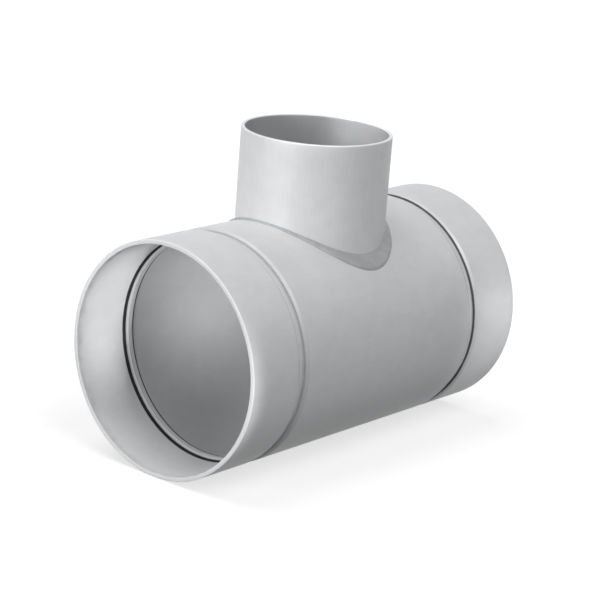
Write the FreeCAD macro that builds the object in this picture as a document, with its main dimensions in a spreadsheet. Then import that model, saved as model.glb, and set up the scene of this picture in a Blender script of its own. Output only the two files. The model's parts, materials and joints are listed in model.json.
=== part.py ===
import FreeCAD, Part
import Sketcher
import math
import os

# Duct tee: a round run tube with a rolled stop bead near each mouth, a smaller
# branch tube cut to sit on its crown, and the weld that joins the two.
# Millimetres. The origin is the centre of the inlet mouth, +X goes along the
# run to the outlet, and +Z points up, the way the branch does.

DRIVING_SIZES = {
    "run_bore": 125.0,          # inside diameter of both run sockets
    "run_wall": 2.5,
    "run_length": 232.0,        # mouth to mouth
    "bead_setback": 40.0,       # mouth to the middle of its stop bead
    "bead_depth": 2.0,          # how far the bead is rolled inwards
    "bead_slope": 25.0,         # degrees between either flank of the bead and the tube
    "branch_bore": 80.0,        # inside diameter of the branch socket
    "branch_wall": 2.0,
    "branch_reach": 112.0,      # run axis to the branch mouth
    "branch_station": 116.0,    # inlet mouth to the branch axis
    "saddle_gap": 0.2,          # fit-up gap between the run and the branch's foot
    "weld_crown_width": 1.5,    # how far the weld spreads over the run's crown
    "weld_flank_width": 7.0,    # how far it spreads down the run's flanks
    "weld_rise": 1.0,           # how high it stands on the run
    "weld_bevel": 0.6,          # bevel along its outer edge
    "rim_break": 0.8,           # bevel on the outside edge of each mouth
    "cut_margin": 5.0,          # how far a cutting shape runs past what it cuts
}

WORKED_OUT_SIZES = {
    "run_inner": "=run_bore / 2",
    "run_outer": "=run_bore / 2 + run_wall",
    "bead_pitch": "=run_length - 2 * bead_setback",
    "bead_root": "=run_outer - bead_depth",
    "branch_inner": "=branch_bore / 2",
    "branch_outer": "=branch_bore / 2 + branch_wall",
    "foot_seat": "=run_outer + saddle_gap",
    "above_run": "=run_outer + cut_margin",
    "weld_top": "=run_outer + weld_rise",
    "weld_toe": "=branch_outer + weld_flank_width",
    "weld_drop": "=run_outer - sqrt(run_outer ^ 2 - weld_toe ^ 2)",
    "weld_flare": "=atan((weld_flank_width - weld_crown_width) / weld_drop)",
    "weld_base": "=branch_outer + weld_crown_width + run_outer * tan(weld_flare)",
    "above_weld": "=weld_top + cut_margin",
    "past_weld": "=weld_top + weld_base + cut_margin",
}

# Sketcher's own numbers for its axes, for the element that holds its origin, and
# for the points of an element.
H_AXIS, V_AXIS = range(-1, -3, -1)
ORIGIN = H_AXIS
START, END, CENTRE = range(1, 4)

# How near an edge's points must lie to a surface to count as on it.
ON_SURFACE = 1e-4

doc = FreeCAD.newDocument("duct_tee")
sheet = doc.addObject("Spreadsheet::Sheet", "sizes")
sheet.Label = "sizes"


def fill_sheet():
    """Put every driving size on a row of its own, then the sizes worked out from them."""
    rows = [(name, str(value)) for name, value in DRIVING_SIZES.items()]
    rows += list(WORKED_OUT_SIZES.items())
    for row, (name, text) in enumerate(rows, start=1):
        sheet.set(f"A{row}", name)
        sheet.set(f"B{row}", text)
        sheet.setAlias(f"B{row}", name)
    doc.recompute()


def size(name):
    """Value of one size on the sheet: millimetres, or degrees for an angle."""
    return float(getattr(sheet, name))


def point(across, up=0.0):
    """Point in a sketch's own plane."""
    return FreeCAD.Vector(across, up, 0)


def new_body(name):
    """Empty body whose label names its file."""
    body = doc.addObject("PartDesign::Body", name)
    body.Label = name
    return body


def origin_feature(body, role):
    """Axis or plane of the body's own origin."""
    return next(feature for feature in body.Origin.OriginFeatures if feature.Role == role)


def new_sketch(body, name, plane):
    """Sketch on one of the body's own origin planes."""
    sketch = body.newObject("Sketcher::SketchObject", name)
    sketch.AttachmentSupport = [(origin_feature(body, plane), "")]
    sketch.MapMode = "FlatFace"
    return sketch


def rule(sketch, *terms):
    """Constraint with no size of its own."""
    sketch.addConstraint(Sketcher.Constraint(*terms))


def measure(sketch, size_name, *terms):
    """Dimension that follows one size on the sheet."""
    index = sketch.addConstraint(Sketcher.Constraint(*terms, size(size_name)))
    sketch.setExpression(f"Constraints[{index}]", f"sizes.{size_name}")


def draw_circle(sketch, radius_name, across_name=None):
    """Circle centred on the sketch's origin, or moved along its first axis by a named size."""
    across = size(across_name) if across_name else 0.0
    radius = size(radius_name)
    ring = sketch.addGeometry(Part.Circle(point(across), FreeCAD.Vector(0, 0, 1), radius))
    measure(sketch, radius_name, "Radius", ring)
    rule(sketch, "PointOnObject", ring, CENTRE, H_AXIS)
    if across_name:
        measure(sketch, across_name, "DistanceX", ORIGIN, START, ring, CENTRE)
    else:
        rule(sketch, "PointOnObject", ring, CENTRE, V_AXIS)


def draw_wall_strip(sketch, length_name, inner_name, outer_name):
    """Rectangle that starts above the sketch's origin: a tube's wall, cut along its axis."""
    length, inner, outer = size(length_name), size(inner_name), size(outer_name)
    corners = [point(0, inner), point(length, inner), point(length, outer), point(0, outer)]
    sides = [
        sketch.addGeometry(Part.LineSegment(corners[i], corners[(i + 1) % 4]))
        for i in range(4)
    ]
    for side, following in zip(sides, sides[1:] + sides[:1]):
        rule(sketch, "Coincident", side, END, following, START)
    rule(sketch, "Horizontal", sides[0])
    rule(sketch, "Vertical", sides[1])
    rule(sketch, "Horizontal", sides[2])
    rule(sketch, "Vertical", sides[3])
    rule(sketch, "PointOnObject", sides[3], END, V_AXIS)
    measure(sketch, length_name, "DistanceX", sides[0], START, sides[0], END)
    measure(sketch, inner_name, "DistanceY", ORIGIN, START, sides[0], START)
    measure(sketch, outer_name, "DistanceY", ORIGIN, START, sides[2], END)


def bend(sketch, centre, first, last):
    """Outside of a bend in the run's wall, from one angle to another, in radians."""
    circle = Part.Circle(centre, FreeCAD.Vector(0, 0, 1), size("run_wall"))
    arc = sketch.addGeometry(Part.ArcOfCircle(circle, first, last))
    measure(sketch, "run_wall", "Radius", arc)
    return arc


def bead_half_width():
    """Half the bead's width along the tube, from its middle to where it leaves the wall."""
    slope = math.radians(size("bead_slope"))
    drop = size("run_wall") / math.cos(slope) - size("run_wall") + size("bead_depth")
    return drop / math.tan(slope)


def place_bead(sketch, element, spot):
    """Put one point of a bead's section at its root, where both its faces turn."""
    measure(sketch, "bead_setback", "DistanceX", ORIGIN, START, element, spot)
    measure(sketch, "bead_root", "DistanceY", ORIGIN, START, element, spot)


def lean_flanks(sketch, near_flank, far_flank):
    """Set the near flank's slope against the tube, and make the far one its mirror image."""
    slope = math.radians(size("bead_slope"))
    index = sketch.addConstraint(Sketcher.Constraint("Angle", near_flank, -slope))
    sketch.setExpression(f"Constraints[{index}]", "-sizes.bead_slope")
    index = sketch.addConstraint(Sketcher.Constraint("Angle", far_flank, slope))
    sketch.setExpression(f"Constraints[{index}]", "sizes.bead_slope")


def draw_bead_groove(sketch):
    """Groove that a rolled bead leaves in the tube's outside.

    A straight top lies on the wall. Under it, two convex shoulders, one wall thick
    in radius, turn into straight flanks that meet in the bead's root.
    """
    middle, outer, wall = size("bead_setback"), size("run_outer"), size("run_wall")
    slope = math.radians(size("bead_slope"))
    half_width = bead_half_width()
    root = point(middle, size("bead_root"))
    lean = wall * math.sin(slope)
    fall = wall * (1 - math.cos(slope))
    near_tangent = point(middle - half_width + lean, outer - fall)
    far_tangent = point(middle + half_width - lean, outer - fall)
    quarter = math.pi / 2

    top = sketch.addGeometry(
        Part.LineSegment(point(middle - half_width, outer), point(middle + half_width, outer))
    )
    near = bend(sketch, point(middle - half_width, outer - wall), quarter - slope, quarter)
    far = bend(sketch, point(middle + half_width, outer - wall), quarter, quarter + slope)
    near_flank = sketch.addGeometry(Part.LineSegment(near_tangent, root))
    far_flank = sketch.addGeometry(Part.LineSegment(root, far_tangent))

    rule(sketch, "Tangent", near, END, top, START)
    rule(sketch, "Tangent", near, START, near_flank, START)
    rule(sketch, "Coincident", near_flank, END, far_flank, START)
    rule(sketch, "Tangent", far_flank, END, far, END)
    rule(sketch, "Tangent", far, START, top, END)
    rule(sketch, "Horizontal", top)
    measure(sketch, "run_outer", "DistanceY", ORIGIN, START, top, START)
    place_bead(sketch, near_flank, END)
    lean_flanks(sketch, near_flank, far_flank)


def draw_bead_ridge(sketch):
    """Ridge that a rolled bead raises on the tube's inside.

    Its crest is the outside of a bend about the groove's root, one wall thick in
    radius. Two straight flanks run from it down to the tube's inner wall.
    """
    middle, inner, wall = size("bead_setback"), size("run_inner"), size("run_wall")
    slope = math.radians(size("bead_slope"))
    half_width = bead_half_width()
    root = point(middle, size("bead_root"))
    lean = wall * math.sin(slope)
    fall = wall * math.cos(slope)
    near_foot = point(middle - half_width, inner)
    far_foot = point(middle + half_width, inner)
    quarter = math.pi / 2

    top = sketch.addGeometry(Part.LineSegment(near_foot, far_foot))
    crest = bend(sketch, root, 3 * quarter - slope, 3 * quarter + slope)
    near_flank = sketch.addGeometry(
        Part.LineSegment(near_foot, point(middle - lean, size("bead_root") - fall))
    )
    far_flank = sketch.addGeometry(
        Part.LineSegment(point(middle + lean, size("bead_root") - fall), far_foot)
    )

    rule(sketch, "Coincident", top, START, near_flank, START)
    rule(sketch, "Tangent", near_flank, END, crest, START)
    rule(sketch, "Tangent", crest, END, far_flank, START)
    rule(sketch, "Coincident", far_flank, END, top, END)
    rule(sketch, "Horizontal", top)
    measure(sketch, "run_inner", "DistanceY", ORIGIN, START, top, START)
    place_bead(sketch, crest, CENTRE)
    lean_flanks(sketch, near_flank, far_flank)


def turned(body, kind, name, sketch):
    """Revolution or groove of a sketch, once round the body's X axis."""
    feature = body.newObject(kind, name)
    feature.Profile = sketch
    feature.ReferenceAxis = (origin_feature(body, "X_Axis"), [""])
    feature.Angle = 360
    sketch.Visibility = False
    doc.recompute()
    return feature


def extruded(body, kind, name, sketch, length_name, backwards=False):
    """Pad or pocket of a sketch to a named length."""
    feature = body.newObject(kind, name)
    feature.Profile = sketch
    feature.setExpression("Length", f"sizes.{length_name}")
    feature.Reversed = backwards
    sketch.Visibility = False
    doc.recompute()
    return feature


def radius_about(axis_point, axis, place):
    """Distance of a place from an axis."""
    return (place - axis_point).cross(axis).Length


def edges_where(feature, test):
    """Names of the edges all of whose sampled points pass the test."""
    return [
        f"Edge{number}"
        for number, edge in enumerate(feature.Shape.Edges, start=1)
        if all(test(place) for place in edge.discretize(Number=9))
    ]


def bevelled(body, name, base, edges, size_name):
    """Bevel of a named size along named edges of a feature."""
    feature = body.newObject("PartDesign::Chamfer", name)
    feature.Base = (base, edges)
    feature.setExpression("Size", f"sizes.{size_name}")
    doc.recompute()
    return feature


def make_run_tube():
    """Straight tube with two rolled stop beads and a round opening in its crown."""
    body = new_body("run_tube")
    wall = new_sketch(body, "run_wall_section", "XZ_Plane")
    draw_wall_strip(wall, "run_length", "run_inner", "run_outer")
    turned(body, "PartDesign::Revolution", "run_shell", wall)

    ridge_section = new_sketch(body, "bead_ridge_section", "XZ_Plane")
    draw_bead_ridge(ridge_section)
    ridge = turned(body, "PartDesign::Revolution", "bead_ridge", ridge_section)

    groove_section = new_sketch(body, "bead_groove_section", "XZ_Plane")
    draw_bead_groove(groove_section)
    groove = turned(body, "PartDesign::Groove", "bead_groove", groove_section)

    beads = body.newObject("PartDesign::LinearPattern", "stop_beads")
    beads.Originals = [ridge, groove]
    beads.Direction = (origin_feature(body, "X_Axis"), [""])
    beads.Occurrences = 2
    beads.setExpression("Length", "sizes.bead_pitch")
    body.Tip = beads
    doc.recompute()

    opening = new_sketch(body, "branch_opening_section", "XY_Plane")
    draw_circle(opening, "branch_inner", "branch_station")
    cut = extruded(body, "PartDesign::Pocket", "branch_opening", opening, "above_run", True)

    def on_mouth_edge(place):
        at_mouth = min(abs(place.x), abs(place.x - size("run_length"))) < ON_SURFACE
        from_axis = radius_about(FreeCAD.Vector(), FreeCAD.Vector(1, 0, 0), place)
        return at_mouth and abs(from_axis - size("run_outer")) < ON_SURFACE

    edges = edges_where(cut, on_mouth_edge)
    bevelled(body, "run_rim_break", cut, edges, "rim_break")
    return body


def make_branch_tube():
    """Short tube whose foot is cut to the run's outside, a fit-up gap clear of it."""
    body = new_body("branch_tube")
    ring = new_sketch(body, "branch_ring", "XY_Plane")
    draw_circle(ring, "branch_outer", "branch_station")
    draw_circle(ring, "branch_inner", "branch_station")
    extruded(body, "PartDesign::Pad", "branch_shell", ring, "branch_reach")

    seat = new_sketch(body, "saddle_seat", "YZ_Plane")
    draw_circle(seat, "foot_seat")
    saddle = extruded(body, "PartDesign::Pocket", "saddle_cut", seat, "run_length", True)

    def on_mouth_edge(place):
        axis_point = FreeCAD.Vector(size("branch_station"), 0, 0)
        from_axis = radius_about(axis_point, FreeCAD.Vector(0, 0, 1), place)
        at_mouth = abs(place.z - size("branch_reach")) < ON_SURFACE
        return at_mouth and abs(from_axis - size("branch_outer")) < ON_SURFACE

    edges = edges_where(saddle, on_mouth_edge)
    bevelled(body, "branch_rim_break", saddle, edges, "rim_break")
    return body


def make_saddle_weld():
    """Flat weld on the run, all the way round the branch's foot.

    Its outer edge is a cone about the branch's axis, so the weld is narrow on the
    run's crown and wide on the flanks, where the corner between the tubes is open.
    """
    body = new_body("saddle_weld")
    cone_base = new_sketch(body, "weld_cone_base", "XY_Plane")
    draw_circle(cone_base, "weld_base", "branch_station")
    cone = extruded(body, "PartDesign::Pad", "weld_blank", cone_base, "above_weld")
    cone.setExpression("TaperAngle", "-sizes.weld_flare")

    core = new_sketch(body, "weld_core", "XY_Plane")
    draw_circle(core, "branch_outer", "branch_station")
    extruded(body, "PartDesign::Pocket", "weld_core_cut", core, "above_weld", True)

    bed = new_sketch(body, "weld_bed", "YZ_Plane")
    draw_circle(bed, "run_outer")
    extruded(body, "PartDesign::Pocket", "weld_bed_cut", bed, "run_length", True)

    over = new_sketch(body, "weld_over", "YZ_Plane")
    draw_circle(over, "weld_top")
    draw_circle(over, "past_weld")
    blank = extruded(body, "PartDesign::Pocket", "weld_over_cut", over, "run_length", True)

    def on_toe(place):
        axis_point = FreeCAD.Vector(size("branch_station"), 0, 0)
        from_branch = radius_about(axis_point, FreeCAD.Vector(0, 0, 1), place)
        from_run = radius_about(FreeCAD.Vector(), FreeCAD.Vector(1, 0, 0), place)
        clear_of_branch = from_branch > size("branch_outer") + ON_SURFACE
        return clear_of_branch and abs(from_run - size("weld_top")) < ON_SURFACE

    edges = edges_where(blank, on_toe)
    bevelled(body, "weld_toe_bevel", blank, edges, "weld_bevel")
    return body


def check_document(bodies):
    """Stop if any object failed or a body isn't one sound solid."""
    for thing in doc.Objects:
        if "Invalid" in thing.State or "Error" in thing.State:
            raise RuntimeError(f"{thing.Label} failed: {thing.State}")
    for body in bodies:
        shape = body.Shape
        if shape.isNull() or not shape.isValid() or len(shape.Solids) != 1:
            raise RuntimeError(f"{body.Label} isn't one valid solid")


def export(bodies):
    """Write each body to the file that its label names."""
    os.makedirs("parts", exist_ok=True)
    for body in bodies:
        body.Shape.exportStep(f"parts/{body.Label}.step")
        print(f"{body.Label}: {body.Shape.Volume:.1f} cubic millimetres")


fill_sheet()
tee = [make_run_tube(), make_branch_tube(), make_saddle_weld()]
doc.recompute()
check_document(tee)
export(tee)
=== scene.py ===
"""Looks of a round duct tee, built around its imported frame.

Metres. The origin is the centre of the inlet mouth, +X goes along the run to the
outlet, and +Z points up, the way the branch does.
"""

from __future__ import annotations

import json
import logging
import math
from dataclasses import dataclass
from enum import Enum

import bpy
import numpy as np
from bpy.types import Light, Material, Node, NodeSocket, NodeTree, Object
from mathutils import Matrix, Vector


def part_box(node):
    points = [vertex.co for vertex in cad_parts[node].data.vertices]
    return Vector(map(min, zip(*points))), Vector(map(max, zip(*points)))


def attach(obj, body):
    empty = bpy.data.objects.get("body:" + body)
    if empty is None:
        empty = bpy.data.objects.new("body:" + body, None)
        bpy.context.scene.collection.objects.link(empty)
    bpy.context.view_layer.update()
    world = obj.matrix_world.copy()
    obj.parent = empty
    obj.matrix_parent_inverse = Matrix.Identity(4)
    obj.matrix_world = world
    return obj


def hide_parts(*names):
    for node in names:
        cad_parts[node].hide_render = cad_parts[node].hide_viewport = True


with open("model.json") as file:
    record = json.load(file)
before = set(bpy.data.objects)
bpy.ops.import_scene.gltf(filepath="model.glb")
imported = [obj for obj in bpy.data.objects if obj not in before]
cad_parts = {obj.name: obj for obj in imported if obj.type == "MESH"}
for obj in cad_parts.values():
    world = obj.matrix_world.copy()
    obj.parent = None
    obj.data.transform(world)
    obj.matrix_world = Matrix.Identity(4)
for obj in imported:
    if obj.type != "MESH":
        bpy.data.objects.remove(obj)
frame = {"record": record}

LOG = logging.getLogger("duct_tee")
MM = 0.001
BODY = "root"

# A colour, a place, a direction or a factor for each axis.
Triple = tuple[float, float, float]
WHITE: Triple = (1.0, 1.0, 1.0)

# Edges sharper than this stay crisp under smooth shading.
SHARP_ANGLE = math.radians(35.0)

# Points on the quarter circles at the outer and the inner edge of a rim.
RIM_STEPS = 6
BORE_STEPS = 5

# The sheet's grain is drawn out by shrinking its coordinates to this share.
GRAIN_SQUEEZE = 0.05

# Where most values of the grain and the bloom lie.
GRAIN_RANGE = (0.3, 0.7)
BLOOM_RANGE = (0.2, 0.8)


class Slot(Enum):
    """Material slots of the record."""

    SHEET = "zinc_coated_sheet"
    WELD = "dressed_weld"


@dataclass(frozen=True)
class TeeSizes:
    """Main sizes of the tee, read from the frame, in metres."""

    run_length: float
    run_inner: float
    run_outer: float
    station: float
    branch_inner: float
    branch_outer: float
    branch_top: float
    foot_seat: float
    weld_top: float
    weld_crown_reach: float
    weld_flank_reach: float

    @classmethod
    def from_frame(cls, record: dict) -> TeeSizes:
        """Read the sizes from the record's mounts and the nodes' boxes.

        Args:
            record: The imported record.

        Returns:
            The tee's main sizes.
        """
        mounts = {mount["name"]: mount for mount in record["mounts"]}
        socket = mounts["branch_socket"]
        station = socket["pos_m"][0]
        run_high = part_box("run_tube")[1]
        branch_low, branch_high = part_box("branch_tube")
        weld_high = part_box("saddle_weld")[1]
        branch_outer = branch_high.x - station
        return cls(
            run_length=run_high.x,
            run_inner=mounts["run_inlet"]["dims"]["r_mm"] * MM,
            run_outer=run_high.z,
            station=station,
            branch_inner=socket["dims"]["r_mm"] * MM,
            branch_outer=branch_outer,
            branch_top=branch_high.z,
            foot_seat=math.hypot(branch_low.z, branch_outer),
            weld_top=weld_high.z,
            weld_crown_reach=weld_high.x - station,
            weld_flank_reach=weld_high.y,
        )


def arc(
    centre: tuple[float, float], radius: float, first: float, last: float, steps: int
) -> np.ndarray:
    """Points of a circular arc in a section's plane.

    Each point is the centre plus the radius times the cosine and sine of its angle.

    Args:
        centre: Centre of the arc.
        radius: Radius of the arc.
        first: First angle in degrees.
        last: Last angle in degrees.
        steps: Number of points.

    Returns:
        Array of the points, one a row.
    """
    angle = np.radians(np.linspace(first, last, steps))
    return np.column_stack([centre[0] + radius * np.cos(angle), centre[1] + radius * np.sin(angle)])


def full_turn(segments: int) -> np.ndarray:
    """Evenly spaced angles of one full turn, without the last, in radians."""
    return 2 * math.pi * np.arange(segments) / segments


def grid_quads(rows: int, columns: int) -> np.ndarray:
    """Quads of a grid of points that closes on itself both ways.

    Args:
        rows: Number of rows of points.
        columns: Number of points in a row.

    Returns:
        Array of rows by columns by four point numbers.
    """
    near = np.arange(rows * columns).reshape(rows, columns)
    far = np.roll(near, -1, axis=0)
    return np.stack([near, far, np.roll(far, -1, axis=1), np.roll(near, -1, axis=1)], axis=-1)


def ring_quads(near: np.ndarray, far: np.ndarray) -> np.ndarray:
    """Quads between two closed rings of as many points.

    Args:
        near: Point numbers of the first ring.
        far: Point numbers of the second ring.

    Returns:
        Array of quads, which run along the first ring and then across.
    """
    return np.column_stack([near, np.roll(near, -1), np.roll(far, -1), far])


def compact(points: np.ndarray, quads: np.ndarray) -> tuple[np.ndarray, np.ndarray]:
    """Drop the points that no quad uses.

    Args:
        points: All points.
        quads: Quads by point number.

    Returns:
        The points in use and the quads renumbered to them.
    """
    used, renumbered = np.unique(quads, return_inverse=True)
    return points[used], renumbered.reshape(quads.shape)


def mesh_piece(name: str, points: np.ndarray, quads: np.ndarray) -> Object:
    """Make a smooth-shaded mesh object at the origin.

    Args:
        name: Name of the piece.
        points: Its points, in metres.
        quads: Its quads by point number.

    Returns:
        The new object.
    """
    mesh = bpy.data.meshes.new(name)
    mesh.from_pydata(points, [], quads)
    mesh.validate()
    mesh.shade_smooth()
    mesh.set_sharp_from_angle(angle=SHARP_ANGLE)
    piece = bpy.data.objects.new(name, mesh)
    bpy.context.scene.collection.objects.link(piece)
    return piece


def settle(piece: Object, node: str, material: Material) -> None:
    """Give a piece its material and put it in the place of its node.

    Args:
        piece: The finished piece.
        node: Node of the frame that it stands for.
        material: Its material.
    """
    piece.data.materials.append(material)
    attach(piece, BODY)
    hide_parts(node)
    LOG.info("%s: %d faces", piece.name, len(piece.data.polygons))


@dataclass(frozen=True)
class ShadeLine:
    """A line of painted shade: its way off a bead's middle, away from the mouth, and half its
    width.
    """

    off: float
    half: float
    strength: float


@dataclass
class RunTube:
    """Straight tube with a rolled stop bead near each mouth and an opening in its crown.

    A bead's middle lies the setback in from its mouth, with a crease on each side of
    it and a low rib between the two. The patch is the part of both walls round the
    opening. It reaches that far along the run from the branch's axis, and spans that
    many segments to either side of the crown.
    """

    sizes: TeeSizes
    bead_setback: float = 40 * MM
    bead_depth: float = 2 * MM
    bead_slope: float = math.radians(25.0)
    crease_off: float = 2.1 * MM
    crease_drop: float = 0.6 * MM
    rib_rise: float = 0.25 * MM
    foot_radius: float = 1.2 * MM
    rim_round: float = 0.35 * MM
    bore_round: float = 0.35 * MM
    patch_reach: float = 48 * MM
    patch_span: int = 33
    segments: int = 256
    patch_steps: int = 32
    patch_rings: int = 9
    plain_step: float = 4 * MM
    bead_steps: tuple[int, int, int] = (5, 9, 10)
    colour: Triple = (0.63, 0.64, 0.65)
    rim_band: float = 0.5 * MM
    band_edge: float = 0.4 * MM
    socket_edge: float = 3 * MM
    split_share: float = 0.1
    # Painted shade: near-black lines in the beads' creases, faint at the inlet's bead and strong at
    # the outlet's.
    near_groove_shade: tuple[ShadeLine, ...] = (
        ShadeLine(-crease_off, 0.3 * MM, 0.2),
        ShadeLine(crease_off, 0.4 * MM, 0.2),
        ShadeLine(3.4 * MM, 1.2 * MM, 0.1),
    )
    far_groove_shade: tuple[ShadeLine, ...] = (
        ShadeLine(-crease_off, 0.35 * MM, 0.8),
        ShadeLine(crease_off, 0.7 * MM, 1.0),
    )
    ridge_shade: tuple[ShadeLine, ...] = (
        ShadeLine(-4.0 * MM, 0.95 * MM, 1.0),
        ShadeLine(-2.2 * MM, 1.0 * MM, 0.3),
        ShadeLine(1.6 * MM, 0.7 * MM, 1.0),
    )
    # Painted shade: a soft dark band on the inside, just in from each mouth's rim.
    mouth_shade_width: float = 2 * MM
    mouth_shade_edge: float = 8 * MM
    mouth_shade_strength: float = 0.3

    @property
    def wall(self) -> float:
        """Thickness of the sheet."""
        return self.sizes.run_outer - self.sizes.run_inner

    @property
    def bead_half_width(self) -> float:
        """Half the bead's width along the tube."""
        drop = self.wall / math.cos(self.bead_slope) - self.wall + self.bead_depth
        return drop / math.tan(self.bead_slope)

    def off_bead(self, along: np.ndarray) -> np.ndarray:
        """Distance along the tube from the nearer bead's middle."""
        return np.minimum(
            np.abs(along - self.bead_setback),
            np.abs(along - (self.sizes.run_length - self.bead_setback)),
        )

    def core(self, off: np.ndarray) -> np.ndarray:
        """Share of the way from a bead's flanks to its middle part between the creases.

        A smooth step, half a crease's drop either side of the crease, 0 outside it
        and 1 inside it.

        Args:
            off: Distances from the bead's middle.

        Returns:
            Share of the step at each distance.
        """
        share = np.clip((self.crease_off - off) / self.crease_drop + 0.5, 0, 1)
        return share**2 * (3 - 2 * share)

    def groove_depth(self, along: np.ndarray) -> np.ndarray:
        """Depth of the beads' grooves in the outside.

        From the wall inwards: a convex shoulder of one wall's radius, a straight flank
        at the bead's slope, and past a crease a floor that rises to a low rib by the
        cosine of its place across.

        Args:
            along: Places along the tube.

        Returns:
            Depth below the outer wall at each place.
        """
        off = self.off_bead(along)
        half, slope, wall = self.bead_half_width, self.bead_slope, self.wall
        shoulder = wall - np.sqrt(np.maximum(wall**2 - np.maximum(half - off, 0) ** 2, 0))
        flank = self.bead_depth - off * math.tan(slope)
        inside = [off >= half, off >= half - wall * math.sin(slope)]
        outer = np.select(inside, [np.zeros_like(off), shoulder], flank)
        across = np.clip(off / self.crease_off, 0, 1)
        floor = self.bead_depth - self.rib_rise * (1 + np.cos(math.pi * across)) / 2
        share = self.core(off)
        return outer * (1 - share) + floor * share

    def ridge_height(self, along: np.ndarray) -> np.ndarray:
        """Height of the beads' ridges on the inside.

        A small hollow fillet where the wall turns into a straight flank, and past a
        crease a crest that rises to the bead's depth by the cosine of its place across.

        Args:
            along: Places along the tube.

        Returns:
            Height above the inner wall at each place.
        """
        off = self.off_bead(along)
        half, slope, foot = self.bead_half_width, self.bead_slope, self.foot_radius
        touch = foot * math.tan(slope / 2)
        flank = (half - off) * math.tan(slope)
        hollow = foot - np.sqrt(np.maximum(foot**2 - np.maximum(half + touch - off, 0) ** 2, 0))
        inside = [off >= half + touch, off >= half - touch * math.cos(slope)]
        outer = np.select(inside, [np.zeros_like(off), hollow], np.minimum(flank, self.bead_depth))
        across = np.clip(off / self.crease_off, 0, 1)
        crest = self.bead_depth - self.rib_rise * (1 - np.cos(math.pi * across / 2))
        share = self.core(off)
        return outer * (1 - share) + crest * share

    def stations(self, trim: float) -> tuple[np.ndarray, slice]:
        """Places along one wall, close together on the beads.

        Args:
            trim: Distance from each mouth where the wall's edge rounding starts.

        Returns:
            The places in order, and the slice of them that spans the opening's patch.
        """
        length, middle = self.sizes.run_length, self.sizes.station
        core, flank = self.crease_off - self.crease_drop, self.crease_off + self.crease_drop
        reach = self.bead_half_width + self.foot_radius / 2
        marks = (0.0, core, flank, reach)
        rises = [
            np.linspace(first, last, steps, endpoint=False)
            for first, last, steps in zip(marks, marks[1:], self.bead_steps)
        ]
        off = np.concatenate([*rises, [reach]])
        bead = np.concatenate([-off[:0:-1], off])
        near_bead, far_bead = self.bead_setback + bead, length - self.bead_setback + bead
        patch = np.linspace(
            middle - self.patch_reach, middle + self.patch_reach, self.patch_steps + 1
        )

        def evenly(start: float, end: float) -> np.ndarray:
            """Evenly spaced places from one up to but not counting the other."""
            steps = max(1, round((end - start) / self.plain_step))
            return np.linspace(start, end, steps, endpoint=False)

        before = [evenly(trim, near_bead[0]), near_bead[:-1], evenly(near_bead[-1], patch[0])]
        tail = evenly(far_bead[-1], length - trim)
        after = [evenly(patch[-1], far_bead[0]), far_bead[:-1], tail]
        first = sum(len(part) for part in before)
        places = np.concatenate([*before, patch[:-1], *after, [length - trim]])
        return places, slice(first, first + self.patch_steps + 1)

    def build(self) -> Object:
        """Turn the wall's closed section about X and cut the opening in.

        The section runs along the outer wall, over the outlet's rim, back along the
        inner wall and over the inlet's rim. A point of it at (x, r) and an angle from
        the crown lies at (x, r sin angle, r cos angle). Round the opening, both walls
        are rings that blend from a rectangle of that grid to the round edge.

        Returns:
            The run tube.
        """
        sizes, rim, bore = self.sizes, self.rim_round, self.bore_round
        length, inner, outer = sizes.run_length, sizes.run_inner, sizes.run_outer
        outer_along, outer_patch = self.stations(rim)
        inner_along, inner_patch = self.stations(bore)
        outer_wall = np.column_stack([outer_along, outer - self.groove_depth(outer_along)])
        inner_wall = np.column_stack([inner_along, inner - self.ridge_height(inner_along)])
        parts = [
            arc((rim, outer - rim), rim, 180, 90, RIM_STEPS)[:-1],
            outer_wall,
            arc((length - rim, outer - rim), rim, 90, 0, RIM_STEPS)[1:],
            arc((length - bore, inner + bore), bore, 0, -90, BORE_STEPS)[:-1],
            inner_wall[::-1],
            arc((bore, inner + bore), bore, -90, -180, BORE_STEPS)[1:],
        ]
        section = np.concatenate(parts)
        # The outer wall is part 1. The inner wall is part 4, reversed, and ends before part 5.
        starts = np.cumsum([0] + [len(part) for part in parts])
        outer_rows = starts[1] + np.arange(len(outer_wall))[outer_patch]
        inner_rows = starts[5] - 1 - np.arange(len(inner_wall))[inner_patch]

        angle = full_turn(self.segments)
        along = np.broadcast_to(section[:, 0, None], (len(section), self.segments))
        radius = section[:, 1, None]
        points = np.stack([along, radius * np.sin(angle), radius * np.cos(angle)], axis=-1)
        quads = grid_quads(len(section), self.segments)
        kept = np.ones(quads.shape[:2], dtype=bool)
        columns = np.arange(-self.patch_span, self.patch_span) % self.segments
        kept[np.ix_(outer_rows[:-1], columns)] = False
        kept[np.ix_(inner_rows[1:], columns)] = False

        points = points.reshape(-1, 3)
        outer_border = points[self.border(outer_rows)]
        turn = np.arctan2(outer_border[:, 1], outer_border[:, 0] - sizes.station)
        faces, edges = [quads[kept]], []
        for rows, wall_radius, outwards in ((outer_rows, outer, True), (inner_rows, inner, False)):
            border = self.border(rows)
            rings = self.patch(points[border], turn, wall_radius)
            shape = rings.shape[:2]
            numbers = len(points) + np.arange(math.prod(shape)).reshape(shape)
            points = np.concatenate([points, rings.reshape(-1, 3)])
            steps = np.vstack([border, numbers])
            strips = np.concatenate([ring_quads(near, far) for near, far in zip(steps, steps[1:])])
            faces.append(strips if outwards else strips[:, ::-1])
            edges.append(numbers[-1])
        faces.append(ring_quads(*edges))
        return mesh_piece("run_tube_shell", *compact(points, np.concatenate(faces)))

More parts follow.
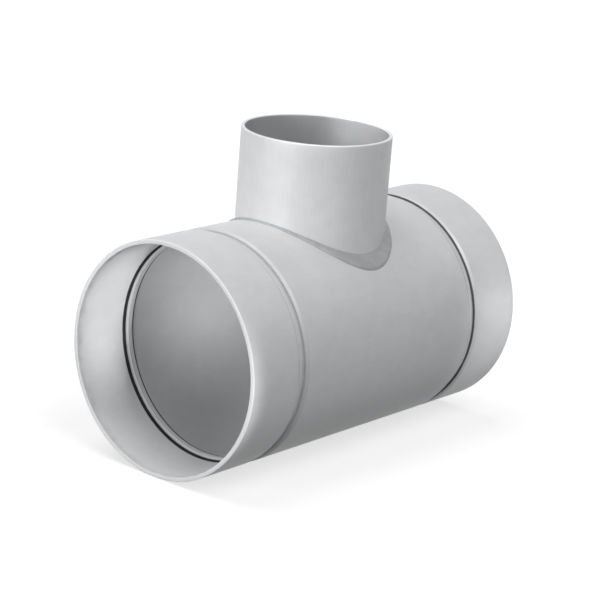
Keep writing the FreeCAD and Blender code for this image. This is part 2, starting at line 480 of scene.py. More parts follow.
    def border(self, rows: np.ndarray) -> np.ndarray:
        """Point numbers round the opening's patch, anticlockwise seen from above.

        Args:
            rows: Rows of the grid across the patch, in order along +X.

        Returns:
            The point numbers, each once.
        """
        across = np.arange(-self.patch_span, self.patch_span + 1) % self.segments
        grid = rows[:, None] * self.segments + across
        return np.concatenate([grid[:-1, 0], grid[-1, :-1], grid[:0:-1, -1], grid[0, :0:-1]])

    def patch(self, border: np.ndarray, turn: np.ndarray, radius: float) -> np.ndarray:
        """Rings of points from a patch's border in to the opening's edge.

        Seen from above, each ring lies a share of the way from the border to the
        opening's circle. Its height is then what the wall has at that distance
        from the run's axis: the square root of radius squared less y squared.

        Args:
            border: Points of the border.
            turn: Angle about the branch's axis for each of them.
            radius: Radius of the wall.

        Returns:
            Array of rings by points by coordinates.
        """
        share = (np.arange(1, self.patch_rings + 1) / self.patch_rings)[:, None]
        hole_x = self.sizes.station + self.sizes.branch_inner * np.cos(turn)
        hole_y = self.sizes.branch_inner * np.sin(turn)
        x = border[:, 0] * (1 - share) + hole_x * share
        y = border[:, 1] * (1 - share) + hole_y * share
        return np.stack([x, y, np.sqrt(radius**2 - y**2)], axis=-1)

    def dress(self) -> TubeDress:
        """Where the run's finish differs: its rims, its sockets, lighter inside with painted
        light, and painted shade in its beads' creases and just inside its mouths.

        Returns:
            The run's dress.
        """
        axis, length, setback = (1.0, 0.0, 0.0), self.sizes.run_length, self.bead_setback
        ends = (0.0, length)

        def painted_shade(end: float, lines: tuple[ShadeLine, ...]) -> tuple[Band, ...]:
            """Bands for the lines of painted shade in the bead near one end.

            Args:
                end: Place of the end.
                lines: The lines.

            Returns:
                The bands.
            """
            bands = []
            for line in lines:
                place = setback + line.off if end == 0.0 else length - setback - line.off
                bands.append(Band(axis, place, line.half, self.band_edge, line.strength))
            return tuple(bands)

        mouth_shade = (self.mouth_shade_width, self.mouth_shade_edge, self.mouth_shade_strength)
        mouths = tuple(Band(axis, end, *mouth_shade) for end in ends)
        return TubeDress(
            name="zinc_sheet_run",
            draw=(GRAIN_SQUEEZE, 1.0, 1.0),
            hub=(0.0, 0.0, 0.0),
            across=(0.0, 1.0, 1.0),
            split=self.sizes.run_inner + self.split_share * self.wall,
            outer_colour=self.colour,
            inner_colour=self.colour,
            rims=tuple(Band(axis, end, self.rim_band, self.band_edge) for end in ends),
            sockets=tuple(Band(axis, end, setback, self.socket_edge) for end in ends),
            outer_painted_shade=painted_shade(0.0, self.near_groove_shade) + painted_shade(length, self.far_groove_shade),
            inner_painted_shade=painted_shade(0.0, self.ridge_shade) + painted_shade(length, self.ridge_shade) + mouths,
        )


@dataclass
class BranchTube:
    """Short upright tube whose foot is cut to the run's outside."""

    sizes: TeeSizes
    rim_round: float = 0.5 * MM
    bore_round: float = 0.3 * MM
    segments: int = 224
    wall_steps: int = 26
    outer_colour: Triple = (0.70, 0.71, 0.72)
    # The inside's darker grey is painted shade, the shade down inside the upright tube.
    inner_colour: Triple = (0.42, 0.43, 0.44)
    rim_band: float = 0.4 * MM
    rim_edge: float = 0.5 * MM

    def foot(self, radius: float, turn: np.ndarray) -> np.ndarray:
        """Height of the foot's edge: the square root of seat squared less y squared."""
        return np.sqrt(self.sizes.foot_seat**2 - (radius * np.sin(turn)) ** 2)

    def build(self) -> Object:
        """Carry the wall's closed section round the branch's axis.

        The section runs up the inner wall, over the rim and down the outer wall. On
        the walls, each row lies a share of the way from the foot's edge to the rim.

        Returns:
            The branch tube.
        """
        sizes, rim, bore = self.sizes, self.rim_round, self.bore_round
        inner, outer, top = sizes.branch_inner, sizes.branch_outer, sizes.branch_top
        turn = full_turn(self.segments)
        share = np.linspace(0, 1, self.wall_steps)[:, None]
        lip = np.concatenate(
            [
                arc((inner + bore, top - bore), bore, 180, 90, BORE_STEPS),
                arc((outer - rim, top - rim), rim, 90, 0, RIM_STEPS),
            ]
        )
        inner_foot, outer_foot = self.foot(inner, turn), self.foot(outer, turn)
        inner_height = inner_foot + (top - bore - inner_foot) * share[:-1]
        outer_height = outer_foot + (top - rim - outer_foot) * share[-2::-1]
        lip_height = np.broadcast_to(lip[:, 1, None], (len(lip), self.segments))
        height = np.concatenate([inner_height, lip_height, outer_height])
        walls = len(share) - 1
        radius = np.concatenate([np.full(walls, inner), lip[:, 0], np.full(walls, outer)])[:, None]
        x, y = sizes.station + radius * np.cos(turn), radius * np.sin(turn)
        points = np.stack([x, y, height], axis=-1)
        quads = grid_quads(*height.shape)
        return mesh_piece("branch_tube_shell", points.reshape(-1, 3), quads.reshape(-1, 4))

    def dress(self) -> TubeDress:
        """Where the branch's finish differs: its rim, and its inside, darkened with painted shade.

        Returns:
            The branch's dress.
        """
        axis = (0.0, 0.0, 1.0)
        return TubeDress(
            name="zinc_sheet_branch",
            draw=(1.0, 1.0, GRAIN_SQUEEZE),
            hub=(self.sizes.station, 0.0, 0.0),
            across=(1.0, 1.0, 0.0),
            split=(self.sizes.branch_inner + self.sizes.branch_outer) / 2,
            outer_colour=self.outer_colour,
            inner_colour=self.inner_colour,
            rims=(Band(axis, self.sizes.branch_top, self.rim_band, self.rim_edge),),
        )


@dataclass
class SaddleWeld:
    """Dressed weld on the run, all the way round the branch's foot.

    The toe is its outer edge. Its rounding takes no more than the given share of the
    weld's width. The gap keeps the weld clear of the branch.
    """

    sizes: TeeSizes
    gap: float = 0.02 * MM
    toe_round: float = 0.9 * MM
    toe_share: float = 0.55
    ripple: float = 0.1 * MM
    ripple_count: int = 74
    segments: int = 444
    top_steps: int = 7
    toe_steps: int = 6
    search_steps: int = 12

    def toe(self, turn: np.ndarray) -> np.ndarray:
        """Distance of the weld's outer edge from the branch's axis.

        The edge lies on a cone about the branch's axis, whose radius grows as it
        goes down. Where the cone meets the run is found by going back and forth
        between the cone's radius and the run's height there until both agree.

        Args:
            turn: Angles about the branch's axis.

        Returns:
            The distance at each angle.
        """
        outer, crown = self.sizes.run_outer, self.sizes.weld_crown_reach
        flank = self.sizes.weld_flank_reach
        grow = (flank - crown) / (outer - math.sqrt(outer**2 - flank**2))
        reach = np.full_like(turn, crown)
        for _ in range(self.search_steps):
            height = np.sqrt(outer**2 - (reach * np.sin(turn)) ** 2)
            reach = crown + grow * (outer - height)
        return reach

    def build(self) -> Object:
        """Carry the weld's closed section round the foot.

        A point of the section has a distance from the branch's axis, its reach, and one
        from the run's axis, its level. Its height is the square root of level squared
        less y squared. The top rises and falls by a cosine along the weld.

        Returns:
            The weld.
        """
        sizes, outer = self.sizes, self.sizes.run_outer
        turn = full_turn(self.segments)
        toe = self.toe(turn)
        wave = 0.5 - 0.5 * np.cos(self.ripple_count * turn)
        throat = sizes.branch_outer + self.gap
        share = np.linspace(0, 1, self.top_steps)[:, None]
        rise = sizes.weld_top - outer - self.ripple * wave
        corner = np.radians(np.linspace(0, 90, self.toe_steps))[1:, None]
        soft = np.minimum(self.toe_round, self.toe_share * (toe - throat))
        top_reach = throat + (toe - soft - throat) * share
        top_level = outer + np.broadcast_to(rise, top_reach.shape)
        toe_reach = toe - soft + soft * np.sin(corner)
        toe_level = outer + rise * np.cos(corner)
        bed = (1, self.segments)
        reach = np.concatenate([top_reach, toe_reach, np.full(bed, throat)])
        level = np.concatenate([top_level, toe_level, np.full(bed, outer)])
        x, y = sizes.station + reach * np.cos(turn), reach * np.sin(turn)
        points = np.stack([x, y, np.sqrt(level**2 - y**2)], axis=-1)
        quads = grid_quads(*reach.shape)
        return mesh_piece("saddle_weld_bead", points.reshape(-1, 3), quads.reshape(-1, 4))


class NodeBench:
    """Short way to add, set and link the nodes of one tree."""

    def __init__(self, tree: NodeTree) -> None:
        """Keep the tree to work on."""
        self.tree = tree

    def add(self, kind: str, **settings: object) -> Node:
        """Add a node.

        Args:
            kind: The node's type name.
            settings: Properties to set on it.

        Returns:
            The new node.
        """
        node = self.tree.nodes.new(kind)
        for name, value in settings.items():
            setattr(node, name, value)
        return node

    def feed(self, socket: NodeSocket, value: object) -> None:
        """Link an output to an input socket, or set the socket to a constant.

        Args:
            socket: The input socket.
            value: An output socket or a constant.
        """
        if isinstance(value, NodeSocket):
            self.tree.links.new(value, socket)
        else:
            socket.default_value = value

    def fill(self, node: Node, **inputs: object) -> Node:
        """Feed a node's inputs by name, with underscores for spaces.

        Args:
            node: The node.
            inputs: An output socket or a constant for each input.

        Returns:
            The node.
        """
        for name, value in inputs.items():
            self.feed(node.inputs[name.replace("_", " ")], value)
        return node

    def group(self, tree: NodeTree, place: object, **inputs: object) -> NodeSocket:
        """Output of a node group at some coordinates, with its other inputs by name."""
        node = self.add("ShaderNodeGroup", node_tree=tree)
        return self.fill(node, Coordinates=place, **inputs).outputs[0]

    def maths(
        self, operation: str, *values: object, kind: str = "ShaderNodeMath", out: str = "Value"
    ) -> NodeSocket:
        """Place a maths operation.

        Args:
            operation: Its type name.
            values: Its inputs, as sockets, numbers or vectors.
            kind: The node's type name.
            out: Name of its output.

        Returns:
            Its result.
        """
        node = self.add(kind, operation=operation)
        for socket, value in zip(node.inputs, values):
            self.feed(socket, value)
        return node.outputs[out]

    def vectors(self, operation: str, *values: object, out: str = "Vector") -> NodeSocket:
        """Result of an operation on vectors: a vector, or a number as Value."""
        return self.maths(operation, *values, kind="ShaderNodeVectorMath", out=out)

    def scaled(self, colour: object, factor: object) -> NodeSocket:
        """Multiply a colour by a factor.

        Args:
            colour: The colour.
            factor: The factor.

        Returns:
            The product.
        """
        node = self.add("ShaderNodeVectorMath", operation="SCALE")
        self.feed(node.inputs[0], colour)
        return self.fill(node, Scale=factor).outputs["Vector"]

    def remap(
        self, value: object, low: object, high: object, to_low: float = 0.0, to_high: float = 1.0
    ) -> NodeSocket:
        """Carry a value from one range to another, smoothly and clamped.

        Args:
            value: The value.
            low: Low end of its range.
            high: High end of its range.
            to_low: What the low end turns into.
            to_high: What the high end turns into.

        Returns:
            The value in the second range.
        """
        node = self.add("ShaderNodeMapRange", interpolation_type="SMOOTHSTEP")
        self.fill(node, Value=value, From_Min=low, From_Max=high, To_Min=to_low, To_Max=to_high)
        return node.outputs["Result"]

    def spread(
        self, value: object, limits: tuple[float, float], middle: float, spread: float
    ) -> NodeSocket:
        """Value carried from its usual limits to a middle value, give or take a spread."""
        return self.remap(value, *limits, middle - spread, middle + spread)

    def blend(self, share: object, first: object, second: object) -> NodeSocket:
        """Mix two colours.

        Args:
            share: Share of the second, from 0 to 1.
            first: The first colour.
            second: The second colour.

        Returns:
            The mixed colour.
        """
        node = self.add("ShaderNodeMix", data_type="RGBA")
        self.feed(node.inputs[0], share)
        for socket, colour in ((node.inputs[6], first), (node.inputs[7], second)):
            self.feed(socket, (*colour, 1.0) if isinstance(colour, tuple) else colour)
        return node.outputs[2]

    def noise(self, place: object, scale: object, detail: float, roughness: float) -> NodeSocket:
        """Place smooth noise.

        Args:
            place: Its coordinates.
            scale: How fine it is.
            detail: How many finer layers it has.
            roughness: How strong each finer layer is.

        Returns:
            The noise, between 0 and 1.
        """
        node = self.add("ShaderNodeTexNoise")
        self.fill(node, Vector=place, Scale=scale, Detail=detail, Roughness=roughness)
        return node.outputs["Fac"]

    def bump(self, height: object, distance: float, strength: float) -> NodeSocket:
        """Turn a fine relief into a normal.

        Args:
            height: The relief, in shares of the distance.
            distance: Its full height, in metres.
            strength: How much of it shows, from 0 to 1.

        Returns:
            The normal.
        """
        node = self.add("ShaderNodeBump")
        self.fill(node, Height=height, Distance=distance, Strength=strength)
        return node.outputs["Normal"]


@dataclass(frozen=True)
class SurfaceGroups:
    """Node groups that the tee's finishes share."""

    grain: NodeTree
    bloom: NodeTree
    marks: NodeTree
    band: NodeTree
    side: NodeTree

    @staticmethod
    def new_group(
        name: str, vectors: tuple[str, ...], numbers: tuple[str, ...], output: str
    ) -> tuple[NodeBench, dict[str, object]]:
        """Start a node group.

        Args:
            name: The group's name.
            vectors: Names of its vector inputs.
            numbers: Names of its number inputs.
            output: Name of its one output, a number.

        Returns:
            The bench for its nodes, and its input sockets with the output as "out".
        """
        tree = bpy.data.node_groups.new(name, "ShaderNodeTree")
        for labels, kind in ((vectors, "NodeSocketVector"), (numbers, "NodeSocketFloat")):
            for label in labels:
                tree.interface.new_socket(label, in_out="INPUT", socket_type=kind)
        tree.interface.new_socket(output, in_out="OUTPUT", socket_type="NodeSocketFloat")
        bench = NodeBench(tree)
        source = bench.add("NodeGroupInput")
        sink = bench.add("NodeGroupOutput")
        sockets = {label: source.outputs[label] for label in vectors + numbers}
        sockets["out"] = sink.inputs[output]
        return bench, sockets

    @classmethod
    def build(cls) -> SurfaceGroups:
        """Make the groups, in the order of the fields."""
        makers = (cls.make_grain, cls.make_bloom, cls.make_marks, cls.make_band, cls.make_side)
        return cls(*(make() for make in makers))

    @classmethod
    def make_grain(cls) -> NodeTree:
        """Fine streaks of the rolled sheet, drawn out along one direction.

        Returns:
            The group.
        """
        bench, sockets = cls.new_group("rolled_grain", ("Coordinates", "Draw"), ("Scale",), "Grain")
        drawn = bench.vectors("MULTIPLY", sockets["Coordinates"], sockets["Draw"])
        streaks = bench.noise(drawn, sockets["Scale"], detail=4.0, roughness=0.65)
        bench.feed(sockets["out"], streaks)
        return bench.tree

    @classmethod
    def make_bloom(cls) -> NodeTree:
        """Soft cloudy flakes of the zinc: crystal cells blurred by wide noise.

        Returns:
            The group.
        """
        flake_share, cloud_share = 0.4, 0.6
        bench, sockets = cls.new_group(
            "zinc_bloom", ("Coordinates",), ("Flake Scale", "Cloud Scale"), "Bloom"
        )
        place = sockets["Coordinates"]
        cells = bench.add("ShaderNodeTexVoronoi", feature="SMOOTH_F1")
        bench.fill(cells, Vector=place, Scale=sockets["Flake Scale"], Smoothness=0.6)
        tone = bench.fill(bench.add("ShaderNodeSeparateColor"), Color=cells.outputs["Color"])
        clouds = bench.noise(place, sockets["Cloud Scale"], detail=3.0, roughness=0.5)
        cloud_part = bench.maths("MULTIPLY", clouds, cloud_share)
        mixed = bench.maths("MULTIPLY_ADD", tone.outputs["Red"], flake_share, cloud_part)
        bench.feed(sockets["out"], mixed)
        return bench.tree

    @classmethod
    def make_marks(cls) -> NodeTree:
        """Sparse hairline scuffs: thin bands where a stretched noise crosses its middle.

        Returns:
            The group.
        """
        stretch, hair_width = (1.0, 0.16, 0.28), 0.006
        patch_scale, patch_edge = 55.0, 0.12
        bench, sockets = cls.new_group(
            "handling_marks", ("Coordinates",), ("Scale", "Sparseness"), "Marks"
        )
        place, sparseness = sockets["Coordinates"], sockets["Sparseness"]
        stretched = bench.vectors("MULTIPLY", place, stretch)
        wander = bench.noise(stretched, sockets["Scale"], detail=2.0, roughness=0.5)
        off = bench.maths("ABSOLUTE", bench.maths("SUBTRACT", wander, 0.5))
        hair = bench.remap(off, 0.0, hair_width, 1.0, 0.0)
        where = bench.noise(place, patch_scale, detail=2.0, roughness=0.5)
        patches = bench.remap(where, sparseness, bench.maths("ADD", sparseness, patch_edge))
        bench.feed(sockets["out"], bench.maths("MULTIPLY", hair, patches))
        return bench.tree

    @classmethod
    def make_band(cls) -> NodeTree:
        """Band square to an axis, 1 inside its width and 0 past a soft, slightly wavy edge.

        Returns:
            The group.
        """
        wave_scale = 160.0
        bench, sockets = cls.new_group(
            "band", ("Coordinates", "Axis"), ("Place", "Width", "Edge"), "Band"
        )
        place, soft = sockets["Coordinates"], sockets["Edge"]
        along = bench.vectors("DOT_PRODUCT", place, sockets["Axis"], out="Value")
        off = bench.maths("ABSOLUTE", bench.maths("SUBTRACT", along, sockets["Place"]))
        wave = bench.noise(place, wave_scale, detail=3.0, roughness=0.6)
        waver = bench.maths("SUBTRACT", wave, 0.5)
        reach = bench.maths("MULTIPLY_ADD", waver, soft, sockets["Width"])
        low, high = (bench.maths("MULTIPLY", soft, half) for half in (-0.5, 0.5))
        inside = bench.remap(bench.maths("SUBTRACT", reach, off), low, high)
        bench.feed(sockets["out"], inside)
        return bench.tree

    @classmethod
    def make_side(cls) -> NodeTree:
        """Which skin of a tube: 1 past the given radius about its hub, 0 within it.

        Returns:
            The group.
        """
        bench, sockets = cls.new_group(
            "tube_side", ("Coordinates", "Hub", "Across"), ("Radius",), "Side"
        )
        centred = bench.vectors("SUBTRACT", sockets["Coordinates"], sockets["Hub"])
        across = bench.vectors("MULTIPLY", centred, sockets["Across"])
        reach = bench.vectors("LENGTH", across, out="Value")
        bench.feed(sockets["out"], bench.maths("GREATER_THAN", reach, sockets["Radius"]))
        return bench.tree


def new_material(name: str) -> tuple[Material, NodeBench, Node]:
    """Start a material.

    Args:
        name: The material's name.

    Returns:
        The material, the bench for its nodes and its shader.
    """
    material = bpy.data.materials.new(name)
    material.use_nodes = True
    shader = material.node_tree.nodes["Principled BSDF"]
    return material, NodeBench(material.node_tree), shader


@dataclass(frozen=True)
class Band:
    """A band square to an axis: its middle, half its width, its soft edge and its strength."""

    axis: Triple
    place: float
    width: float
    edge: float
    strength: float = 1.0


@dataclass(frozen=True)
class TubeDress:
    """What differs between the tubes' finishes.

    The draw says how far each axis is squeezed, so that the grain runs along the least.
    The split is the radius about the hub, across the axes given, that tells the outer
    skin from the inner one. Rims are bare cut edges. Sockets are the tube's ends, a hair
    lighter outside, and lighter inside with painted light, as if lit through the mouths.
    Shade is painted in the creases and just inside the mouths.
    """

    name: str
    draw: Triple
    hub: Triple
    across: Triple
    split: float
    outer_colour: Triple
    inner_colour: Triple
    rims: tuple[Band, ...]
    sockets: tuple[Band, ...] = ()
    outer_painted_shade: tuple[Band, ...] = ()
    inner_painted_shade: tuple[Band, ...] = ()


@dataclass(frozen=True)
class SatinZinc:
    """Satin zinc-coated sheet, with its rolling grain along one axis."""

    groups: SurfaceGroups
    outer_socket_colour: Triple = (0.64, 0.65, 0.66)
    # Painted light: the sockets' insides are lighter, as if lit through the mouths.
    inner_socket_painted_light: Triple = (0.72, 0.73, 0.74)
    rim_colour: Triple = (0.74, 0.75, 0.76)
    # Near-black painted shade for the beads' creases and the mouths' insides.
    painted_shade_colour: Triple = (0.02, 0.02, 0.022)
    metallic: float = 0.16
    specular: float = 0.15
    roughness: float = 0.43
    roughness_spread: float = 0.05
    marks_roughness: float = 0.12
    painted_shade_roughness: float = 0.4
    tone_spread: float = 0.025
    streak_spread: float = 0.015
    grain_scale: float = 900.0
    grain_height: float = 0.02 * MM
    grain_strength: float = 0.5
    flake_scale: float = 140.0
    cloud_scale: float = 22.0
    marks_scale: float = 60.0
    marks_sparseness: float = 0.56
    marks_depth: float = 0.6

    def bands(self, bench: NodeBench, place: object, bands: tuple[Band, ...]) -> NodeSocket:
        """Mask that has each band's strength inside it, and the strongest where they meet.

        Args:
            bench: Bench of the material.
            place: The coordinates.
            bands: One band or more.

        Returns:
            The mask.
        """
        mask = None
        for band in bands:
            where = {"Axis": band.axis, "Place": band.place, "Width": band.width, "Edge": band.edge}
            inside = bench.group(self.groups.band, place, **where)
            strength = bench.maths("MULTIPLY", inside, band.strength)
            mask = strength if mask is None else bench.maths("MAXIMUM", mask, strength)
        return mask

    def painted_shade(self, bench: NodeBench, place: object, side: object, dress: TubeDress) -> NodeSocket:
        """Mask of the shade painted in a tube's creases and along its mouths, with one set of lines
        for each skin.

        Args:
            bench: Bench of the material.
            place: The coordinates.
            side: 1 on the outer skin and 0 on the inner one.
            dress: What differs between the tubes.

        Returns:
            The mask.
        """
        inner_side = bench.maths("SUBTRACT", 1.0, side)
        outer = bench.maths("MULTIPLY", self.bands(bench, place, dress.outer_painted_shade), side)
        inner = bench.maths("MULTIPLY", self.bands(bench, place, dress.inner_painted_shade), inner_side)
        return bench.maths("ADD", outer, inner)

    def build(self, dress: TubeDress) -> Material:
        """Make the finish for one tube.

        Args:
            dress: What differs between the tubes.

        Returns:
            The material.
        """
        material, bench, shader = new_material(dress.name)
        groups = self.groups
        place = bench.add("ShaderNodeTexCoord").outputs["Object"]
        grain = bench.group(groups.grain, place, Draw=dress.draw, Scale=self.grain_scale)
        bloom = bench.group(
            groups.bloom, place, Flake_Scale=self.flake_scale, Cloud_Scale=self.cloud_scale
        )
        marks = bench.group(
            groups.marks, place, Scale=self.marks_scale, Sparseness=self.marks_sparseness
        )
        side = bench.group(
            groups.side, place, Hub=dress.hub, Across=dress.across, Radius=dress.split
        )

        tone = bench.spread(bloom, BLOOM_RANGE, 1.0, self.tone_spread)
        streak = bench.spread(grain, GRAIN_RANGE, 1.0, self.streak_spread)
        skin = bench.blend(side, dress.inner_colour, dress.outer_colour)
        # The sockets get their own tone: a hair lighter outside, and painted light inside.
        if dress.sockets:
            ends = bench.blend(side, self.inner_socket_painted_light, self.outer_socket_colour)
            skin = bench.blend(self.bands(bench, place, dress.sockets), skin, ends)
        sheet = bench.scaled(skin, bench.maths("MULTIPLY", tone, streak))
        colour = bench.blend(self.bands(bench, place, dress.rims), sheet, self.rim_colour)
        cloudy = bench.spread(bloom, BLOOM_RANGE, self.roughness, self.roughness_spread)
        roughness = bench.maths("MULTIPLY_ADD", marks, self.marks_roughness, cloudy)
        metallic = self.metallic
        # Painted shade: the creases and the mouths' insides are darkened and lose their metal
        # sheen.
        if dress.outer_painted_shade:
            painted_shade = self.painted_shade(bench, place, side, dress)
            colour = bench.blend(painted_shade, colour, self.painted_shade_colour)
            roughness = bench.maths("MULTIPLY_ADD", painted_shade, self.painted_shade_roughness, roughness)
            metallic = bench.maths("MULTIPLY_ADD", painted_shade, -self.metallic, self.metallic)
        relief = bench.maths("MULTIPLY_ADD", marks, -self.marks_depth, grain)
        bench.fill(
            shader,
            Base_Color=colour,
            Roughness=roughness,
            Metallic=metallic,
            Specular_IOR_Level=self.specular,
            Normal=bench.bump(relief, self.grain_height, self.grain_strength),
        )
        return material


@dataclass(frozen=True)
class ZincPaint:
    """Matt zinc-rich paint brushed over the dressed weld."""

    groups: SurfaceGroups
    colour: Triple = (0.37, 0.38, 0.39)
    metallic: float = 0.2
    roughness: float = 0.62
    roughness_spread: float = 0.06
    tone_spread: float = 0.08
    grain_scale: float = 650.0
    brush_height: float = 0.08 * MM
    brush_strength: float = 0.4
    flake_scale: float = 300.0
    cloud_scale: float = 60.0

    def build(self, name: str) -> Material:
        """Make the paint.

        Args:
            name: The material's name.

        Returns:
            The material.
        """
        material, bench, shader = new_material(name)
        place = bench.add("ShaderNodeTexCoord").outputs["Object"]
        grain = bench.group(self.groups.grain, place, Draw=(1.0, 1.0, 1.0), Scale=self.grain_scale)
        bloom = bench.group(
            self.groups.bloom, place, Flake_Scale=self.flake_scale, Cloud_Scale=self.cloud_scale
        )
        tone = bench.spread(bloom, BLOOM_RANGE, 1.0, self.tone_spread)
        bench.fill(
            shader,
            Base_Color=bench.scaled(self.colour, tone),
            Roughness=bench.spread(grain, GRAIN_RANGE, self.roughness, self.roughness_spread),
            Metallic=self.metallic,
            Normal=bench.bump(grain, self.brush_height, self.brush_strength),
        )
        return material


def direction(bearing: float, elevation: float) -> Vector:
    """Direction from the tee to a far point.

    Args:
        bearing: Turn from -X towards -Y, in degrees.
        elevation: Angle above the level, in degrees.

    Returns:
        The direction, one long.
    """
    turn, rise = math.radians(bearing), math.radians(elevation)
    level = math.cos(rise)
    return Vector((-math.cos(turn) * level, -math.sin(turn) * level, math.sin(rise)))


def hang(light: Light, towards: Vector) -> Object:
    """Make a light's lamp.

    Args:
        light: The light.
        towards: Direction that the lamp shines from.

    Returns:
        The lamp, at the origin.
    """
    lamp = bpy.data.objects.new(light.name, light)
    lamp.rotation_euler = towards.to_track_quat("Z", "Y").to_euler()
    bpy.context.scene.collection.objects.link(lamp)
    return lamp


@dataclass(frozen=True)
class SunLamp:
    """A wide soft lamp, far away: where it stands, seen from the tee, and how bright.

    The bearing turns from -X towards -Y. Angles are in degrees.
    """

    name: str
    bearing: float
    elevation: float
    strength: float
    spread: float

    def build(self) -> Object:
        """Make the lamp, shining towards the tee.

        Returns:
            The lamp.
        """
        light = bpy.data.lights.new(self.name, "SUN")
        light.energy = self.strength
        light.angle = math.radians(self.spread)
        return hang(light, direction(self.bearing, self.elevation))


@dataclass(frozen=True)
class SpotLamp:
    """A soft lamp close by, with a narrow beam on one part of the tee.

    The target is in millimetres, and angles are as a far lamp's. The strength is the
    light that reaches the target. The squeeze is the beam's width for its height.
    """

    name: str
    target_mm: Triple
    bearing: float
    elevation: float
    distance: float
    strength: float
    cone: float
    radius: float
    squeeze: float = 1.0
    beam_blend: float = 0.8

    def build(self) -> Object:
        """Make the lamp, shining at its target.

        Returns:
            The lamp.
        """
        light = bpy.data.lights.new(self.name, "SPOT")
        light.energy = self.strength * 4 * math.pi * self.distance**2
        light.spot_size = math.radians(self.cone)
        light.spot_blend = self.beam_blend
        light.shadow_soft_size = self.radius
        towards = direction(self.bearing, self.elevation)
        lamp = hang(light, towards)
        target = Vector([value * MM for value in self.target_mm])
        lamp.location = target + towards * self.distance
        lamp.scale = (self.squeeze, 1.0, 1.0)
        return lamp


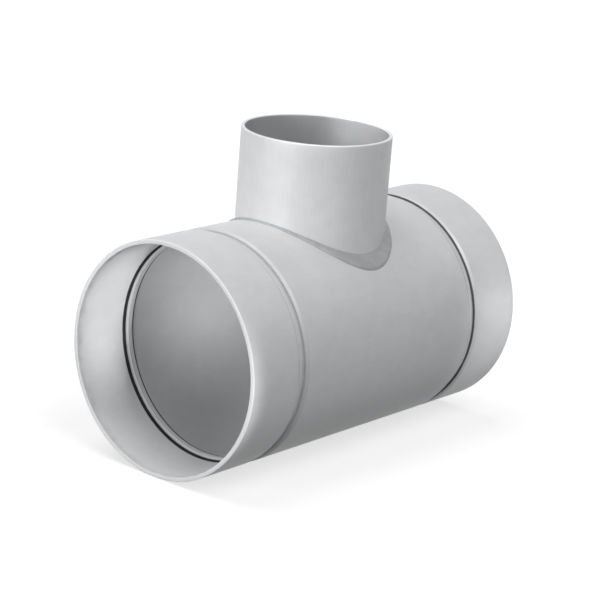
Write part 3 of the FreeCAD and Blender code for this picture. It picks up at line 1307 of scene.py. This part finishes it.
@dataclass
class Studio:
    """Pale floor, soft lamps, a white world and the camera.

    The camera and mirrors see the floor's colour and glow and a white world. The light
    that spreads meets the darker bounce colour and the world's faint light instead, so
    that the floor doesn't light the tee from below.
    """

    sizes: TeeSizes
    floor_half: float = 6.0
    floor_colour: Triple = (0.40, 0.40, 0.40)
    floor_glow: float = 0.69
    bounce_colour: Triple = (0.09, 0.09, 0.09)
    world_light: Triple = (0.03, 0.03, 0.03)
    lamps: tuple[SunLamp | SpotLamp, ...] = (
        # Name, bearing, elevation, strength and spread.
        SunLamp("key_light", -10.0, 0.0, 3.4, 45.0),
        SunLamp("top_light", -65.0, 73.0, 1.4, 40.0),
        SunLamp("side_light", 78.0, 51.0, 1.6, 40.0),
        # Name, target in mm, bearing, elevation, distance, strength, cone, radius and squeeze.
        SpotLamp("mouth_light", (19, 58, 14), 74.0, -7.0, 0.5, 2.35, 13.5, 0.012, 0.45),
        SpotLamp("throat_light", (86, 55, 28), 30.0, -8.0, 0.45, 3.6, 9.0, 0.03),
        SpotLamp("deep_light", (104, 58, -10), 28.0, -2.0, 0.45, 2.1, 8.0, 0.02),
        SpotLamp("outlet_light", (220, -55, -8), 120.0, 2.0, 0.5, 3.2, 10.0, 0.03, 0.4),
        SpotLamp("branch_light", (156, -4, 98), 12.0, 27.0, 0.5, 1.8, 6.5, 0.01),
    )
    focal_pixels: float = 2200.0
    image_pixels: float = 600.0
    sensor_width: float = 36.0
    yaw: float = math.radians(51.28)
    pitch: float = math.radians(16.0)
    roll: float = math.radians(-4.5)
    distance: float = 1.2456
    aim_left: float = 1.0 * MM
    aim_up: float = 13.2 * MM

    def seen_directly(self, bench: NodeBench) -> NodeSocket:
        """Tell the rays that look from the light that spreads.

        Args:
            bench: Bench of a material or the world.

        Returns:
            1 for rays from the camera, a mirror or glass, and 0 for the light that spreads.
        """
        path = bench.add("ShaderNodeLightPath").outputs
        mirrored = bench.maths("MAXIMUM", path["Is Glossy Ray"], path["Is Transmission Ray"])
        return bench.maths("MAXIMUM", path["Is Camera Ray"], mirrored)

    def build_floor(self) -> Object:
        """Make the floor that the run lies on: a flat square of one quad.

        Returns:
            The floor.
        """
        half, level = self.floor_half, -self.sizes.run_outer
        corners = ((-half, -half), (half, -half), (half, half), (-half, half))
        points = np.array([(*corner, level) for corner in corners])
        floor = mesh_piece("floor", points, np.array([[0, 1, 2, 3]]))
        material, bench, shader = new_material("studio_floor")
        seen = self.seen_directly(bench)
        bench.fill(
            shader,
            Base_Color=bench.blend(seen, self.bounce_colour, self.floor_colour),
            Roughness=1.0,
            Specular_IOR_Level=0.0,
            Emission_Color=seen,
            Emission_Strength=self.floor_glow,
        )
        floor.data.materials.append(material)
        return floor

    def build_world(self) -> None:
        """Make the world: white to look at, and a faint even light."""
        world = bpy.data.worlds.new("studio")
        world.use_nodes = True
        bpy.context.scene.world = world
        bench = NodeBench(world.node_tree)
        colour = bench.blend(self.seen_directly(bench), self.world_light, WHITE)
        bench.fill(world.node_tree.nodes["Background"], Color=colour, Strength=1.0)

    def build_camera(self) -> Object:
        """Make the camera at the photograph's viewing angle.

        Its forward direction is turned by the yaw from +Y towards +X and tipped down by
        the pitch. It looks at a point near the tee's centre from the given distance.

        Returns:
            The camera.
        """
        flat = Vector((math.sin(self.yaw), math.cos(self.yaw), 0.0))
        forward = flat * math.cos(self.pitch) - Vector((0.0, 0.0, math.sin(self.pitch)))
        level_right = Vector((math.cos(self.yaw), -math.sin(self.yaw), 0.0))
        level_down = forward.cross(level_right)
        right = level_right * math.cos(self.roll) + level_down * math.sin(self.roll)
        down = level_down * math.cos(self.roll) - level_right * math.sin(self.roll)
        aim = Vector((self.sizes.station, 0.0, 0.0)) - right * self.aim_left - down * self.aim_up
        lens = bpy.data.cameras.new("camera")
        lens.sensor_width = self.sensor_width
        lens.lens = self.focal_pixels / self.image_pixels * self.sensor_width
        camera = bpy.data.objects.new("camera", lens)
        turn = Matrix((right, -down, -forward)).transposed().to_4x4()
        camera.matrix_world = Matrix.Translation(aim - forward * self.distance) @ turn
        bpy.context.scene.collection.objects.link(camera)
        bpy.context.scene.camera = camera
        return camera

    def build(self) -> None:
        """Make the whole set."""
        self.build_floor()
        self.build_world()
        for lamp in self.lamps:
            lamp.build()
        self.build_camera()
        bpy.context.scene.view_settings.view_transform = "Standard"


def main() -> None:
    """Build the tee's pieces and the set."""
    logging.basicConfig(level=logging.INFO, format="%(name)s: %(message)s")
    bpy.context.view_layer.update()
    sizes = TeeSizes.from_frame(frame["record"])
    groups = SurfaceGroups.build()
    zinc, paint = SatinZinc(groups), ZincPaint(groups)
    run, branch, weld = RunTube(sizes), BranchTube(sizes), SaddleWeld(sizes)
    settle(run.build(), "run_tube", zinc.build(run.dress()))
    settle(branch.build(), "branch_tube", zinc.build(branch.dress()))
    settle(weld.build(), "saddle_weld", paint.build("zinc_paint"))
    Studio(sizes).build()
    LOG.info("studio set")


if __name__ == "__main__":
    main()
